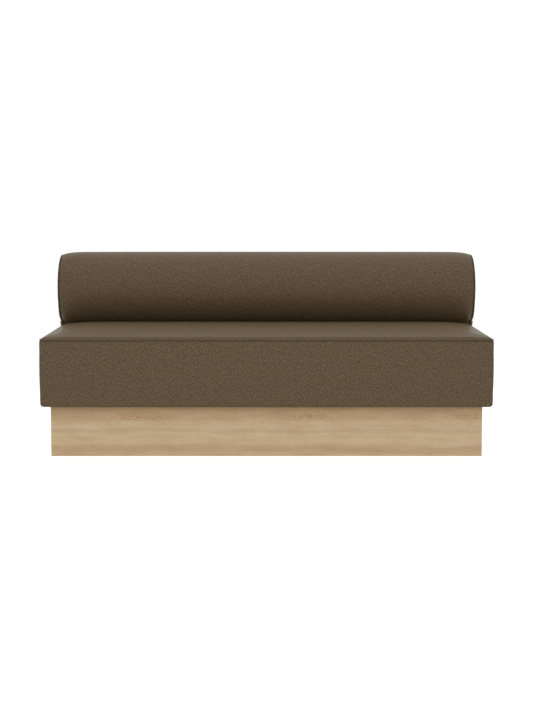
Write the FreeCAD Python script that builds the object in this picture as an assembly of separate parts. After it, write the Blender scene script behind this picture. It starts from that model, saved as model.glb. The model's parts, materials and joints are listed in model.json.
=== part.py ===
import FreeCAD, Part
import math
import os

# Upholstered banquette bench: a veneered box plinth, a thick box seat with a crowned top,
# and a long roll backrest on a narrow neck.
# Millimetres. The origin is on the floor under the middle of the bench.
# X runs along the bench to the sitter's left, Y runs from the front to the back, Z is up.

# Overall sizes
bench_width = 1800.0
bench_depth = 700.0

# Plinth
plinth_height = 202.0
plinth_inset = 40.0
panel_thickness = 18.0
arris = 1.5
divider_count = 2
cleat_height = 25.0
front_cleat_width = 45.0
back_cleat_width = 85.0
corner_block_side = 46.0
corner_block_bottom = 30.0

# Levelling feet
stud_radius = 4.0
stud_length = 78.0
thread_clearance = 0.05
stud_bore_clearance = 1.2
hexagon_across_flats = 13.0
hexagon_height = 4.5
pad_radius = 18.0
pad_height = 13.0
pad_socket_depth = 8.0
pad_floor_gap = 1.0
pad_side_count = 24
stop_gap = 0.3

# Cloth and padding layers
cloth = 1.5
layer_gap = 0.3
dust_cloth = 0.8
hem_width = 70.0

# Seat
seat_seam_height = 466.0
seat_crown = 31.0
crown_reach = 230.0
crown_power = 2.3
side_draw = 3.0
seat_corner_radius = 12.0
hem_radius = 12.0
contour_round_share = 0.15
crown_steps = 4
side_steps = 2
hem_steps = 2

# Seat frame
frame_setback = 25.0
rail_thickness = 22.0
rail_height = 130.0
batten_width = 45.0
batten_height = 25.0
stretcher_drop = 20.0
stretcher_height = 80.0

# Webbing
strap_width = 60.0
strap_thickness = 2.4
across_strap_count = 11
along_strap_count = 4
strap_lie = 5.0

# Roll and neck
roll_radius = 158.0
roll_press = 19.0
roll_centre_to_rear = 60.0
roll_end_drop = 10.5
roll_end_reach = 75.0
roll_end_power = 2.2
roll_setback = 4.0
roll_end_steps = 2
neck_thickness = 92.0
neck_padding = 10.0
neck_board = 6.0
back_board = 6.0
roll_foam = 42.0
bent_skin = 4.0

# Formers and sill of the back
former_thickness = 18.0
leg_clearance = 3.0
sill_thickness = 22.0
sill_height = 100.0
inner_former_share = 0.33

# End panels of the roll
end_panel_thickness = 11.0
end_panel_round = 30.0
end_depth_shares = (0.0, 0.6, 1.0)
end_inset_shares = (0.03, 0.0, 1.0)

# Bolts and nuts
bolt_radius = 4.0
bolt_length = 62.0
bolt_head_height = 5.3
bolt_clearance = 0.3
nut_height = 6.5
seat_bolt_setback = 30.0
bolt_spread_share = 0.72

# One overrun serves all cuts
overrun = 5.0
half_share = 0.5

# Derived places
half_width = bench_width / 2
front_y = -bench_depth / 2
rear_y = bench_depth / 2
seam_half_width = half_width - side_draw
seam_front_y = front_y + side_draw
roll_centre_y = rear_y - roll_centre_to_rear
roll_centre_z = seat_seam_height + seat_crown - roll_press + roll_radius
bench_height = roll_centre_z + roll_radius
roll_end_radius = roll_radius - roll_end_drop
roll_end_x = half_width - roll_setback
roll_half_length = roll_end_x - end_panel_thickness - layer_gap
neck_front_y = rear_y - neck_thickness
frame_bottom = plinth_height + cloth
rail_top = frame_bottom + rail_height
frame_half_width = half_width - frame_setback
frame_front_y = front_y + frame_setback
neck_pad_y = neck_front_y + cloth + layer_gap
neck_board_y = neck_pad_y + neck_padding + layer_gap
former_front_y = neck_board_y + neck_board
back_board_y = rear_y - cloth - layer_gap - back_board
back_rail_y = former_front_y - rail_thickness
deck_top = rail_top + 2 * strap_thickness + 2 * layer_gap
back_foot = frame_bottom + leg_clearance
foam_inset = cloth + layer_gap
skin_radius = roll_end_radius - foam_inset - roll_foam
former_radius = skin_radius - bent_skin - layer_gap
former_rear_y = back_board_y - layer_gap
plinth_half_width = half_width - plinth_inset
plinth_half_depth = bench_depth / 2 - plinth_inset
plinth_inner_x = plinth_half_width - panel_thickness
plinth_inner_y = plinth_half_depth - panel_thickness
hexagon_bottom = corner_block_bottom - nut_height - stop_gap - hexagon_height
pad_top = pad_floor_gap + pad_height


def vec(x, y, z):
    return FreeCAD.Vector(x, y, z)


def block(x0, x1, y0, y1, z0, z1):
    """A rectangular block between two corners."""
    return Part.makeBox(x1 - x0, y1 - y0, z1 - z0, vec(x0, y0, z0))


def rod(radius, start, end):
    """A round bar from one point to another."""
    run = end - start
    return Part.makeCylinder(radius, run.Length, start, run)


def prism(points, run):
    """A closed outline of points pushed along a vector."""
    wire = Part.makePolygon(points + [points[0]])
    return Part.Face(wire).extrude(run)


def mirrored(shape):
    """The same shape on the other side of the middle of the bench."""
    return shape.mirror(vec(0, 0, 0), vec(1, 0, 0))


def turned(shape, degrees):
    """A copy turned about the vertical line through the origin."""
    copy = shape.copy()
    copy.rotate(vec(0, 0, 0), vec(0, 0, 1), degrees)
    return copy


def rounded_plan(half_x, y0, y1, radius, z):
    """A level rectangle with round corners, centred across the bench."""
    turn = radius * (1 - math.sqrt(0.5))
    edges = []
    corners = (
        (vec(-half_x, y0 + radius, z), vec(-half_x + turn, y0 + turn, z), vec(-half_x + radius, y0, z)),
        (vec(half_x - radius, y0, z), vec(half_x - turn, y0 + turn, z), vec(half_x, y0 + radius, z)),
        (vec(half_x, y1 - radius, z), vec(half_x - turn, y1 - turn, z), vec(half_x - radius, y1, z)),
        (vec(-half_x + radius, y1, z), vec(-half_x + turn, y1 - turn, z), vec(-half_x, y1 - radius, z)),
    )
    for index, (start, middle, end) in enumerate(corners):
        edges.append(Part.Arc(start, middle, end).toShape())
        following = corners[(index + 1) % len(corners)][0]
        edges.append(Part.LineSegment(end, following).toShape())
    return Part.Wire(edges)


def roll_radius_at(x):
    """The roll's radius, which falls away at the shoulders near each end."""
    share = max(0, (abs(x) - roll_half_length + roll_end_reach) / roll_end_reach)
    return roll_radius - roll_end_drop * share ** roll_end_power


def circle_point(radius, degrees, x):
    """A point on the roll's outline; zero degrees is the front, ninety is the top."""
    angle = math.radians(degrees)
    return vec(x, roll_centre_y - radius * math.cos(angle), roll_centre_z + radius * math.sin(angle))


def circle_arc(radius, start, end, x):
    """An arc of the roll's outline between two angles in degrees."""
    middle = (start + end) / 2
    points = [circle_point(radius, angle, x) for angle in (start, middle, end)]
    return Part.Arc(*points).toShape()


def rear_angle(radius, inset):
    """Where the round of the roll meets its flat rear, in degrees past the front."""
    return 180 - math.degrees(math.acos((roll_centre_to_rear - inset) / radius))


def round_outline(radius, flat, x):
    """A round outline with a flat rear, at one place along the bench."""
    rear = 180 - math.degrees(math.acos(flat / radius))
    top = circle_point(radius, rear, x)
    bottom = circle_point(radius, -rear, x)
    third = rear / 3
    arcs = [
        circle_arc(radius, rear, third, x),
        circle_arc(radius, third, -third, x),
        circle_arc(radius, -third, -rear, x),
    ]
    return Part.Wire(arcs + [Part.LineSegment(bottom, top).toShape()])


def roll_section(x, inset):
    """The roll's outline at one place along it, set in by a layer's depth."""
    return round_outline(roll_radius_at(x) - inset, roll_centre_to_rear - inset, x)


def roll_body(inset):
    """The roll as one closed form, with its shoulders drawn in at both ends."""
    shoulder = roll_half_length - roll_end_reach
    middle = Part.Face(roll_section(-shoulder, inset)).extrude(vec(2 * shoulder, 0, 0))
    run = roll_end_reach / roll_end_steps
    sections = [roll_section(shoulder + run * step, inset) for step in range(roll_end_steps + 1)]
    end = Part.makeLoft(sections, True, True)
    return middle.fuse([end, mirrored(end)])


def plain_roll(radius, flat_y, half_length):
    """A straight roll of one radius, as the boards and plies inside are cut."""
    outline = round_outline(radius, flat_y - roll_centre_y, -half_length)
    return Part.Face(outline).extrude(vec(2 * half_length, 0, 0))


def contour(draw, rear_draw, inset, radius, z):
    """One level of the seat, drawn in from the overall width and depth."""
    y0 = front_y + draw + inset
    return rounded_plan(half_width - draw - inset, y0, rear_y - rear_draw - inset, radius, z)


def seat_box(inset):
    """The upright part of the seat: round at the hem, with sides that bulge below the seam."""
    low = plinth_height + inset
    high = seat_seam_height - inset
    hem = hem_radius - inset
    corner = seat_corner_radius - inset
    sections = []
    for step in range(hem_steps):
        angle = math.pi / 2 * step / hem_steps
        draw = side_draw + hem * (1 - math.sin(angle))
        sections.append(contour(draw, 0, inset, corner, low + hem * (1 - math.cos(angle))))
    for step in range(side_steps + 1):
        share = step / side_steps
        draw = side_draw * (2 * share - 1) ** 2
        sections.append(contour(draw, 0, inset, corner, low + hem + (high - low - hem) * share))
    return Part.makeLoft(sections, True, True)


def seat_cap(inset):
    """The crowned top of the seat: level contours that follow a full quarter of an oval."""
    sections = []
    bend = 2 / crown_power
    for step in range(crown_steps + 1):
        angle = math.pi / 2 * step / crown_steps
        reach = crown_reach * (1 - abs(math.cos(angle)) ** bend)
        radius = seat_corner_radius - inset + reach * contour_round_share
        z = seat_seam_height - inset + seat_crown * math.sin(angle) ** bend
        sections.append(contour(side_draw + reach, reach, inset, radius, z))
    return Part.makeLoft(sections, True, True)


def dressed_by_roll(shape, inset):
    """Takes the roll's bed and the room of the neck out of the seat."""
    behind = neck_front_y - layer_gap - inset
    level = seat_seam_height - inset
    room = block(-bench_width, bench_width, behind, rear_y + overrun, level, bench_height)
    return shape.cut([roll_body(-layer_gap - inset), room])


def seat_form(inset):
    """The whole seat, set in by a layer's depth."""
    return dressed_by_roll(seat_box(inset).fuse(seat_cap(inset)), inset)


def hexagon(centre, direction, height):
    """A six-sided head or nut, its base at the centre."""
    circumradius = hexagon_across_flats / 2 / math.cos(math.pi / 6)
    side = vec(0, 0, 1).cross(direction)
    if side.Length < half_share:
        side = vec(1, 0, 0)
    across = direction.cross(side)
    points = []
    for step in range(6):
        angle = math.pi / 3 * step
        reach = side * circumradius * math.cos(angle) + across * circumradius * math.sin(angle)
        points.append(centre + reach)
    return prism(points, direction * height)


def bolt(start, direction):
    """A hexagon-headed bolt, its head's underside at the start."""
    shank = rod(bolt_radius, start, start + direction * bolt_length)
    return shank.fuse(hexagon(start, direction * -1, bolt_head_height))


def nut(seat, direction):
    """A hexagon nut that lies on a face at the seat."""
    bore = rod(bolt_radius + thread_clearance, seat - direction * overrun, seat + direction * bolt_length)
    return hexagon(seat, direction, nut_height).cut(bore)


# Places of the fasteners, shared by the bolts, the nuts and the holes
up = vec(0, 0, 1)
rearward = vec(0, 1, 0)
cleat_bottom = plinth_height - cleat_height
batten_front_y = frame_front_y + rail_thickness
bolt_reach = frame_half_width * bolt_spread_share
bolt_rows = (batten_front_y + seat_bolt_setback, back_rail_y - seat_bolt_setback)
seat_bolt_starts = [vec(x, y, cleat_bottom) for y in bolt_rows for x in (-bolt_reach, bolt_reach)]
seat_nut_seats = [vec(at.x, at.y, frame_bottom + batten_height) for at in seat_bolt_starts]
sill_bolt_z = frame_bottom + (sill_height + batten_height) / 2
back_bolt_starts = [vec(x, back_rail_y, sill_bolt_z) for x in (-bolt_reach, bolt_reach)]
back_nut_seats = [vec(at.x, former_front_y + sill_thickness, at.z) for at in back_bolt_starts]
bore_radius = bolt_radius + bolt_clearance
seat_bores = [rod(bore_radius, at - up * overrun, at + up * bolt_length) for at in seat_bolt_starts]
back_bores = [rod(bore_radius, at - rearward * overrun, at + rearward * bolt_length)
              for at in back_bolt_starts]
divider_run = 2 * plinth_inner_x / (divider_count + 1)
divider_columns = [divider_run * (step + 1) - plinth_inner_x for step in range(divider_count)]
block_x = plinth_inner_x - corner_block_side / 2
block_y = plinth_inner_y - corner_block_side / 2
corners = {
    "front_left": (-1, -1),
    "front_right": (1, -1),
    "rear_left": (-1, 1),
    "rear_right": (1, 1),
}
nodes = {}


# Plinth: four mitred panels, two dividers, corner blocks and the cleats that take the seat's bolts
def mitred_panel(half_length, distance):
    """A panel along the front of a box, mitred at both ends, with its outer arrises eased."""
    outer = -distance
    inner = panel_thickness - distance
    points = [
        vec(arris - half_length, outer, 0),
        vec(half_length - arris, outer, 0),
        vec(half_length - arris / 2, outer + arris / 2, 0),
        vec(half_length - panel_thickness, inner, 0),
        vec(panel_thickness - half_length, inner, 0),
        vec(arris / 2 - half_length, outer + arris / 2, 0),
    ]
    panel = prism(points, vec(0, 0, plinth_height))
    limit = outer + arris / 4
    low = [edge for edge in panel.Edges if edge.BoundBox.ZMax < arris and edge.BoundBox.YMax < limit]
    return panel.makeChamfer(arris / 2, low)


def plinth_divider(x):
    """A board from front to back, notched at its top corners for the cleats."""
    half = panel_thickness / 2
    board = block(x - half, x + half, -plinth_inner_y, plinth_inner_y, 0, plinth_height)
    front = block(x - panel_thickness, x + panel_thickness, -bench_depth,
                  front_cleat_width - plinth_inner_y, cleat_bottom, bench_height)
    rear = block(x - panel_thickness, x + panel_thickness, plinth_inner_y - back_cleat_width,
                 bench_depth, cleat_bottom, bench_height)
    return board.cut([front, rear])


def corner_block(side_x, side_y):
    """A hardwood block glued into a corner, bored from below for the levelling foot."""
    half = corner_block_side / 2
    x = side_x * block_x
    y = side_y * block_y
    solid = block(x - half, x + half, y - half, y + half, corner_block_bottom, cleat_bottom)
    stud_top = pad_top + stud_length
    stud = rod(stud_radius + stud_bore_clearance, vec(x, y, 0), vec(x, y, stud_top))
    return solid.cut(stud)


nodes["plinth_front_panel"] = mitred_panel(plinth_half_width, plinth_half_depth)
nodes["plinth_right_panel"] = turned(mitred_panel(plinth_half_depth, plinth_half_width), 90)
nodes["plinth_back_panel"] = turned(mitred_panel(plinth_half_width, plinth_half_depth), 180)
nodes["plinth_left_panel"] = turned(mitred_panel(plinth_half_depth, plinth_half_width), -90)
for side, x in zip(("left", "right"), divider_columns):
    nodes["plinth_" + side + "_divider"] = plinth_divider(x)
for corner, (side_x, side_y) in corners.items():
    nodes["corner_block_" + corner] = corner_block(side_x, side_y)
front_cleat = block(-plinth_inner_x, plinth_inner_x, -plinth_inner_y,
                    front_cleat_width - plinth_inner_y, cleat_bottom, plinth_height)
back_cleat = block(-plinth_inner_x, plinth_inner_x, plinth_inner_y - back_cleat_width,
                   plinth_inner_y, cleat_bottom, plinth_height)
nodes["plinth_front_cleat"] = front_cleat.cut(seat_bores)
nodes["plinth_back_cleat"] = back_cleat.cut(seat_bores)


# Levelling feet: a nut fixed under each corner block, a stud that turns in it, and a nylon pad
def leveller_stud(x, y):
    """The stud with its hexagon, standing in the pad's socket."""
    foot = pad_top - pad_socket_depth + thread_clearance
    shank = rod(stud_radius, vec(x, y, foot), vec(x, y, foot + stud_length))
    return shank.fuse(hexagon(vec(x, y, hexagon_bottom), up, hexagon_height))


def leveller_pad(x, y):
    """The nylon pad, its round edge drawn as many flats, with its blind socket."""
    edge = []
    for step in range(pad_side_count):
        angle = 2 * math.pi * step / pad_side_count
        edge.append(vec(x + pad_radius * math.cos(angle), y + pad_radius * math.sin(angle), pad_floor_gap))
    pad = prism(edge, up * pad_height)
    socket_floor = vec(x, y, pad_top - pad_socket_depth)
    socket = rod(stud_radius + thread_clearance, socket_floor, vec(x, y, pad_top + overrun))
    return pad.cut(socket)


leveller_nuts = []
for corner, (side_x, side_y) in corners.items():
    x = side_x * block_x
    y = side_y * block_y
    leveller_nuts.append(nut(vec(x, y, corner_block_bottom - nut_height), up))
    nodes["leveller_stud_" + corner] = leveller_stud(x, y)
    nodes["leveller_pad_" + corner] = leveller_pad(x, y)
nodes["leveller_nuts"] = Part.makeCompound(leveller_nuts)


# Seat frame: four rails, two stretchers and the battens that take the bolts
rail_inner_x = frame_half_width - rail_thickness
front_rail = block(-frame_half_width, frame_half_width, frame_front_y, batten_front_y, frame_bottom, rail_top)
back_rail = block(-frame_half_width, frame_half_width, back_rail_y, former_front_y, frame_bottom, rail_top)
right_rail = block(rail_inner_x, frame_half_width, batten_front_y, back_rail_y, frame_bottom, rail_top)
nodes["seat_front_rail"] = front_rail
nodes["seat_back_rail"] = back_rail.cut(back_bores)
nodes["seat_right_rail"] = right_rail
nodes["seat_left_rail"] = mirrored(right_rail)
front_batten = block(-rail_inner_x, rail_inner_x, batten_front_y, batten_front_y + batten_width,
                     frame_bottom, frame_bottom + batten_height)
back_batten = block(-rail_inner_x, rail_inner_x, back_rail_y - batten_width, back_rail_y,
                    frame_bottom, frame_bottom + batten_height)
nodes["seat_front_batten"] = front_batten.cut(seat_bores)
nodes["seat_back_batten"] = back_batten.cut(seat_bores)
stretcher_top = rail_top - stretcher_drop
for side, x in zip(("left", "right"), divider_columns):
    half = rail_thickness / 2
    nodes["seat_" + side + "_stretcher"] = block(x - half, x + half, batten_front_y, back_rail_y,
                                                 stretcher_top - stretcher_height, stretcher_top)
seat_bolts = [bolt(at, up) for at in seat_bolt_starts]
back_bolts = [bolt(at, rearward) for at in back_bolt_starts]
nodes["frame_bolts"] = Part.makeCompound(seat_bolts + back_bolts)
seat_nuts = [nut(at, up) for at in seat_nut_seats]
back_nuts = [nut(at, rearward) for at in back_nut_seats]
nodes["frame_nuts"] = Part.makeCompound(seat_nuts + back_nuts)


# Woven webbing: each strap goes over and under the ones that it crosses
def strap_places(low, high, count):
    """Evenly spaced middles of the straps between two inner faces."""
    pitch = (high - low) / count
    return [low + pitch * (index + half_share) for index in range(count)]


def strap_run(start, end, crossings, first_over):
    """The strap's course as distance and lift, lifted where it lies over another."""
    course = [(start, 0)]
    for index, place in enumerate(crossings):
        over = (index + first_over) % 2
        lift = (strap_thickness + layer_gap) * over
        course.append((place - strap_width / 2 - strap_lie, lift))
        course.append((place + strap_width / 2 + strap_lie, lift))
    course.append((end, 0))
    return course


def strap_across(x, first_over, crossings):
    """A strap from the front rail to the back rail."""
    course = strap_run(frame_front_y, former_front_y, crossings, first_over)
    left = x - strap_width / 2
    lower = [vec(left, run, rail_top + lift) for run, lift in course]
    upper = [point + up * strap_thickness for point in reversed(lower)]
    return prism(lower + upper, vec(strap_width, 0, 0))


def strap_along(y, first_over, crossings):
    """A strap from the left rail to the right rail."""
    course = strap_run(-frame_half_width, frame_half_width, crossings, first_over)
    front = y - strap_width / 2
    lower = [vec(run, front, rail_top + lift) for run, lift in course]
    upper = [point + up * strap_thickness for point in reversed(lower)]
    return prism(lower + upper, vec(0, strap_width, 0))


columns = strap_places(-rail_inner_x, rail_inner_x, across_strap_count)
rows = strap_places(batten_front_y, back_rail_y, along_strap_count)
across = [strap_across(x, index, rows) for index, x in enumerate(columns)]
along = [strap_along(y, index + 1, columns) for index, y in enumerate(rows)]
nodes["webbing_across"] = Part.makeCompound(across)
nodes["webbing_along"] = Part.makeCompound(along)

# Seat upholstery: cloth over foam, each layer set in from the one above
cloth_inner = seat_form(cloth)
padding_outer = seat_form(foam_inset)
far = bench_width
opening_x = half_width - hem_width
under = block(-opening_x, opening_x, front_y + hem_width, rear_y - hem_width, 0, seat_seam_height)
return_x = roll_half_length + layer_gap
rear_wall = block(-return_x, return_x, former_front_y + layer_gap, rear_y + overrun, 0, bench_height)
neck_passage = block(-return_x, return_x, neck_front_y - layer_gap, rear_y + overrun, deck_top, bench_height)
nodes["seat_boxing"] = seat_box(0).cut([cloth_inner, under, rear_wall, neck_passage])
nodes["seat_top_panel"] = dressed_by_roll(seat_cap(0), 0).cut(cloth_inner)
foam_rear = neck_front_y - layer_gap - foam_inset
foam_room = block(-far, far, -far, foam_rear, deck_top, bench_height)
nodes["seat_foam"] = padding_outer.common(foam_room)
pad_low = block(-far, far, -far, former_front_y, frame_bottom, deck_top - layer_gap)
frame_block = block(-frame_half_width, frame_half_width, frame_front_y, bench_depth, 0, bench_height)
edge_pads = padding_outer.common(pad_low).cut(frame_block)
front_strip = block(-frame_half_width, frame_half_width, -far, frame_front_y, 0, bench_height)
right_strip = block(frame_half_width + layer_gap, far, -far, far, 0, bench_height)
nodes["seat_front_pad"] = edge_pads.common(front_strip)
nodes["seat_right_pad"] = edge_pads.common(right_strip)
nodes["seat_left_pad"] = mirrored(nodes["seat_right_pad"])
dust_x = opening_x - layer_gap
dust_front_y = batten_front_y + batten_width
dust_rear_y = back_rail_y - batten_width
nodes["seat_dust_cover"] = block(-dust_x, dust_x, dust_front_y, dust_rear_y, plinth_height + layer_gap,
                                 plinth_height + layer_gap + dust_cloth)


# Back: keyhole formers, sill, bent skin, boards
def former(x):
    """A plywood former: the roll's outline on a straight leg, housed for the sill."""
    half = former_thickness / 2
    outline = round_outline(former_radius, former_rear_y - roll_centre_y, x - half)
    head = Part.Face(outline).extrude(vec(former_thickness, 0, 0))
    leg = block(x - half, x + half, former_front_y, former_rear_y, back_foot, roll_centre_z)
    sill_room = block(x - half, x + half, former_front_y, former_front_y + sill_thickness,
                      0, frame_bottom + sill_height)
    return head.fuse(leg).removeSplitter().cut(sill_room)


end_former_x = roll_half_length - former_thickness / 2
inner_former_x = roll_half_length * inner_former_share
former_columns = {
    "former_left": -end_former_x,
    "former_inner_left": -inner_former_x,
    "former_inner_right": inner_former_x,
    "former_right": end_former_x,
}
for name, x in former_columns.items():
    nodes[name] = former(x)
sill = block(-roll_half_length, roll_half_length, former_front_y, former_front_y + sill_thickness,
             back_foot, frame_bottom + sill_height)
nodes["back_sill"] = sill.cut(back_bores)
neck_low = deck_top
skin_outer = plain_roll(skin_radius, former_rear_y, roll_half_length)
skin_inner = plain_roll(skin_radius - bent_skin, former_rear_y + overrun, roll_half_length)
skin_bed = plain_roll(skin_radius + layer_gap, rear_y, roll_half_length)
skin_neck = block(-far, far, former_front_y - layer_gap, rear_y, 0, roll_centre_z)
nodes["bent_skin"] = skin_outer.cut([skin_inner, skin_neck])
board_top = roll_centre_z + math.sqrt(skin_radius ** 2 - (former_rear_y - roll_centre_y) ** 2)
nodes["back_board"] = block(-roll_half_length, roll_half_length, back_board_y, back_board_y + back_board,
                            back_foot, board_top)


def neck_layer(y, depth):
    """A flat layer on the front of the neck, from the webbing up to the bent skin."""
    slab = block(-roll_half_length, roll_half_length, y, y + depth, neck_low, roll_centre_z)
    return slab.cut(skin_bed)


nodes["neck_board"] = neck_layer(neck_board_y, neck_board)
nodes["neck_pad"] = neck_layer(neck_pad_y, neck_padding)
nodes["neck_cloth"] = neck_layer(neck_front_y, cloth)

# Roll upholstery: foam on the bent skin, the cloth cover and the outside back
neck_room = block(-far, far, neck_front_y - layer_gap, rear_y - cloth, 0, roll_centre_z)
board_room = block(-far, far, back_board_y - layer_gap, rear_y + overrun, 0, board_top + layer_gap)
roll_padding = roll_body(foam_inset)
nodes["roll_foam"] = roll_padding.cut([skin_bed, neck_room, board_room])
rear_face = block(-far, far, rear_y - cloth, rear_y + overrun, 0, bench_height)
nodes["roll_cover"] = roll_body(0).cut([roll_body(cloth), neck_room, rear_face])
back_slab = block(-roll_half_length, roll_half_length, neck_front_y, rear_y, plinth_height, roll_centre_z)
nodes["outside_back"] = roll_body(0).fuse(back_slab).removeSplitter().common(rear_face)


# End panels: padded keyhole panels whose edges round over
def keyhole_outline(x, inset):
    """Roll and neck in one outline, from the seat's seam up."""
    radius = roll_end_radius - inset
    neck = neck_front_y + inset
    flat = roll_centre_to_rear - inset
    rear = 180 - math.degrees(math.acos(flat / radius))
    corner = -90 + math.degrees(math.asin((roll_centre_y - neck) / radius))
    bottom = seat_seam_height + layer_gap + inset
    arcs = [
        circle_arc(radius, rear, rear / 2, x),
        circle_arc(radius, rear / 2, 0, x),
        circle_arc(radius, 0, corner, x),
    ]
    top_rear = circle_point(radius, rear, x)
    neck_top = circle_point(radius, corner, x)
    neck_foot = vec(x, neck, bottom)
    rear_foot = vec(x, rear_y - inset, bottom)
    lines = [
        Part.LineSegment(neck_top, neck_foot).toShape(),
        Part.LineSegment(neck_foot, rear_foot).toShape(),
        Part.LineSegment(rear_foot, top_rear).toShape(),
    ]
    return Part.Wire(arcs + lines)


end_sections = []
for depth_share, inset_share in zip(end_depth_shares, end_inset_shares):
    x = roll_end_x - end_panel_thickness * (1 - depth_share)
    end_sections.append(keyhole_outline(x, end_panel_round * inset_share))
nodes["roll_right_end"] = Part.makeLoft(end_sections, True, True)
nodes["roll_left_end"] = mirrored(nodes["roll_right_end"])

os.makedirs("parts", exist_ok=True)
for name, shape in nodes.items():
    solids = shape.Solids
    if len(solids) == 1:
        shape = solids[0]
    else:
        shape = Part.makeCompound(solids)
    shape.exportStep("parts/" + name + ".step")
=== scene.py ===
"""Looks of an upholstered banquette bench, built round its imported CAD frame.

The plinth and everything inside the upholstery are CAD nodes that get a finish here. The
upholstered pieces are modelled here as the padded forms that they are, each in its CAD solid's
place. Lengths are metres, in the CAD frame: X along the bench, Y from front to back, Z up.
"""

import json
import logging
import math
from dataclasses import dataclass, field
from enum import Enum
from typing import Any, Dict, List, Optional, Sequence, Tuple

import bmesh
import bpy
import numpy as np
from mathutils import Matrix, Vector

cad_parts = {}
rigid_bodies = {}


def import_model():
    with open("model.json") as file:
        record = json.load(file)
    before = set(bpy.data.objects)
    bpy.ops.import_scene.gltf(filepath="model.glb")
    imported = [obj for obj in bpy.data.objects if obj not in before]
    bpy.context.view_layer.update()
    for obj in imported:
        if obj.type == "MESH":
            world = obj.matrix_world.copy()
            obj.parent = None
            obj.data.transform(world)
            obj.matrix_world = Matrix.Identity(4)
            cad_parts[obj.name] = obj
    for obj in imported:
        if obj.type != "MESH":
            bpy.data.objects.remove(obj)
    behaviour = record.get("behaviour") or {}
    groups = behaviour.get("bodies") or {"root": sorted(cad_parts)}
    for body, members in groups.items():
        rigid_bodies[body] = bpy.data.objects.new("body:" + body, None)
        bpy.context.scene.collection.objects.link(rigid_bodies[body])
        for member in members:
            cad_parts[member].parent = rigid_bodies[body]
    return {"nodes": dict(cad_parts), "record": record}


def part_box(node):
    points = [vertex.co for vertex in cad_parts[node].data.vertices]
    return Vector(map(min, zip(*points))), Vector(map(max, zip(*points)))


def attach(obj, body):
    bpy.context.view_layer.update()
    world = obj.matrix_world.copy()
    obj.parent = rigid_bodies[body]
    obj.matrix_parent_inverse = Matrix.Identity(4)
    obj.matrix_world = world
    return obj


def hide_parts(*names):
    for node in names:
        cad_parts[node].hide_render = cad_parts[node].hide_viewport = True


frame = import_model()

LOG = logging.getLogger("banquette")
MM = 0.001
QUARTER = math.pi / 2
CLOTH_RUN = "cloth_run"
SEAM_SHADE = "painted_seam_shade"
WHITE = "ffffff"
# A wave texture shows about this many bands in one unit of its scale
WAVE_BANDS = 6.3
# Where each piece is cut from the roll of cloth, so that no two show the same flecks
CUT_AT = {"seat_top": 1.3, "roll_cover": 2.9, "roll_ends": 4.0, "neck": 6.0, "back": 8.0}

Colour = Tuple[float, float, float, float]
Place = Tuple[float, float, float]
Socket = bpy.types.NodeSocket
Stop = Tuple[float, str]
Rows = Tuple[Tuple[float, float, float], ...]


# Small helpers for colours, nodes and nets of points


def linear(code: str) -> Colour:
    """Turns a hex sRGB colour into the linear colour that a socket takes.

    Args:
        code: six hex digits, red first.

    Returns:
        Linear red, green and blue, and an alpha of one.
    """
    parts = []
    for start in (0, 2, 4):
        value = int(code[start:start + 2], 16) / 255
        parts.append(value / 12.92 if value <= 0.04045 else ((value + 0.055) / 1.055) ** 2.4)
    return (parts[0], parts[1], parts[2], 1.0)


def per_mm(size: float) -> float:
    """The texture scale that makes one feature so many millimetres wide."""
    return 1 / (size * MM)


def feed(tree: bpy.types.NodeTree, socket: Socket, value: Any) -> None:
    """Gives an input a value of its own, or links it.

    Args:
        tree: the node tree.
        socket: the input.
        value: a number, a vector, a colour or another node's output.
    """
    if isinstance(value, Socket):
        tree.links.new(value, socket)
    else:
        socket.default_value = value


def add_node(
    tree: bpy.types.NodeTree, kind: str, values: Optional[Dict[Any, Any]] = None
) -> bpy.types.Node:
    """Adds one shader node with its settings and links.

    Args:
        tree: the node tree that gets the node.
        kind: the node's type, without its prefix.
        values: what to set, by property name or by the name or number of an input. An
            output of another node is linked to the input.

    Returns:
        The new node.
    """
    node = tree.nodes.new("ShaderNode" + kind)
    values = values or {}
    own = [key for key in values if isinstance(key, str) and hasattr(node, key)]
    for key in own:
        setattr(node, key, values[key])
    for key, value in values.items():
        if key not in own:
            feed(tree, node.inputs[key], value)
    return node


def ease(value: np.ndarray) -> np.ndarray:
    """A smooth step from 0 to 1."""
    held = np.clip(value, 0, 1)
    return held * held * (3 - 2 * held)


def ease_one(value: float) -> float:
    """The smooth step from 0 to 1 of one number."""
    return float(ease(np.array(value)))


def smooth_min(first: np.ndarray, second: np.ndarray, blend: float) -> np.ndarray:
    """The lower of two heights, rounded where they cross.

    Args:
        first: heights.
        second: heights of the same shape.
        blend: how far the rounding reaches.

    Returns:
        The combined heights.
    """
    share = np.clip(0.5 + 0.5 * (second - first) / blend, 0, 1)
    return second + (first - second) * share - blend * share * (1 - share)


def lengths_along(points: np.ndarray) -> np.ndarray:
    """The distance along a line of points, from its first point."""
    steps = np.linalg.norm(np.diff(points, axis=0), axis=1)
    return np.concatenate([[0.0], np.cumsum(steps)])


def line_across(start: float, end: float, level: float, count: int) -> np.ndarray:
    """Points in a row whose first coordinate runs from start to end, at one level."""
    return np.column_stack([np.linspace(start, end, count), np.full(count, level)])


def line_up(level: float, start: float, end: float, count: int) -> np.ndarray:
    """Points in a row at one level whose second coordinate runs from start to end."""
    return np.column_stack([np.full(count, level), np.linspace(start, end, count)])


def arc(
    centre: Tuple[float, float], radius: float, start: float, end: float, steps: int
) -> np.ndarray:
    """Points on a turn, without its first point.

    Args:
        centre: the arc's middle.
        radius: its radius.
        start: its first angle in radians.
        end: its last angle in radians.
        steps: how many runs it is divided into.

    Returns:
        The points from the second to the last.
    """
    angles = np.linspace(start, end, steps + 1)[1:]
    return np.column_stack(
        [centre[0] + radius * np.cos(angles), centre[1] + radius * np.sin(angles)]
    )


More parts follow.
